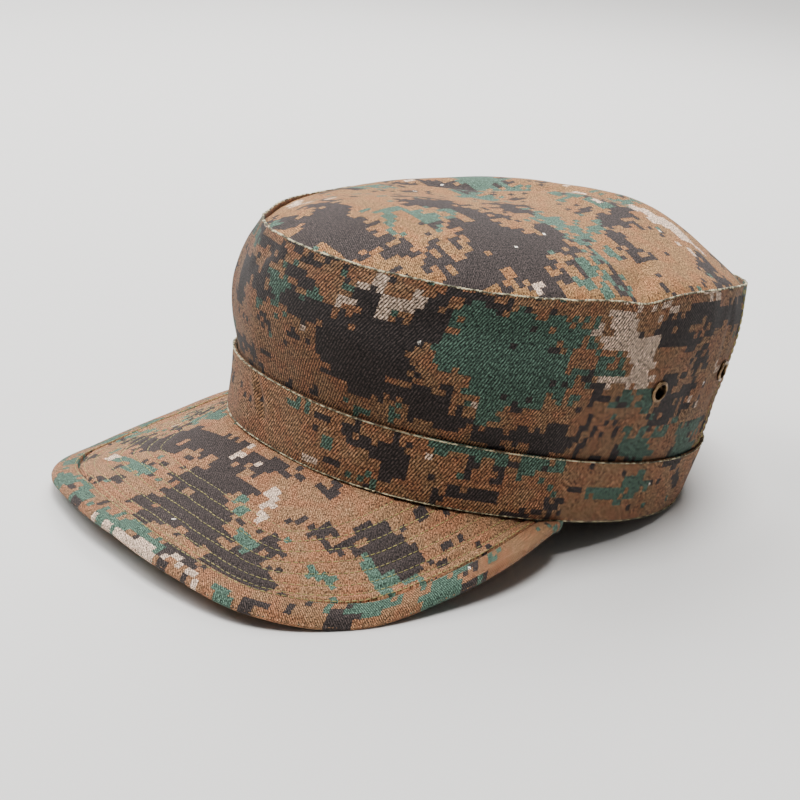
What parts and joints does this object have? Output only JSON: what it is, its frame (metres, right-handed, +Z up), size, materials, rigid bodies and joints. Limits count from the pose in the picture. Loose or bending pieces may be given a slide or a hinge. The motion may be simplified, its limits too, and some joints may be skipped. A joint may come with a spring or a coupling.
{
  "type": "camouflage field cap",
  "caption": "Soft camouflage field cap with a domed top, a doubled band, a quilted visor and metal vent eyelets, resting on its visor and rear rim.",
  "frame": {"origin": "on the floor, below the middle of the bounding box", "axes": "+Z up, front of the cap towards -Y, wearer's left towards +X"},
  "size_m": [0.187, 0.2974, 0.1206],
  "materials": {
    "camouflage_twill": "matte printed cotton twill",
    "aged_brass": "dark antique"
  },
  "bodies": {
    "root": {"crown_side": "camouflage_twill", "crown_back": "camouflage_twill", "crown_top": "camouflage_twill", "band": "camouflage_twill", "visor_top": "camouflage_twill", "visor_under": "camouflage_twill", "eyelet_left_front": "aged_brass", "eyelet_left_rear": "aged_brass", "eyelet_right_front": "aged_brass", "eyelet_right_rear": "aged_brass"}
  },
  "joints": []
}
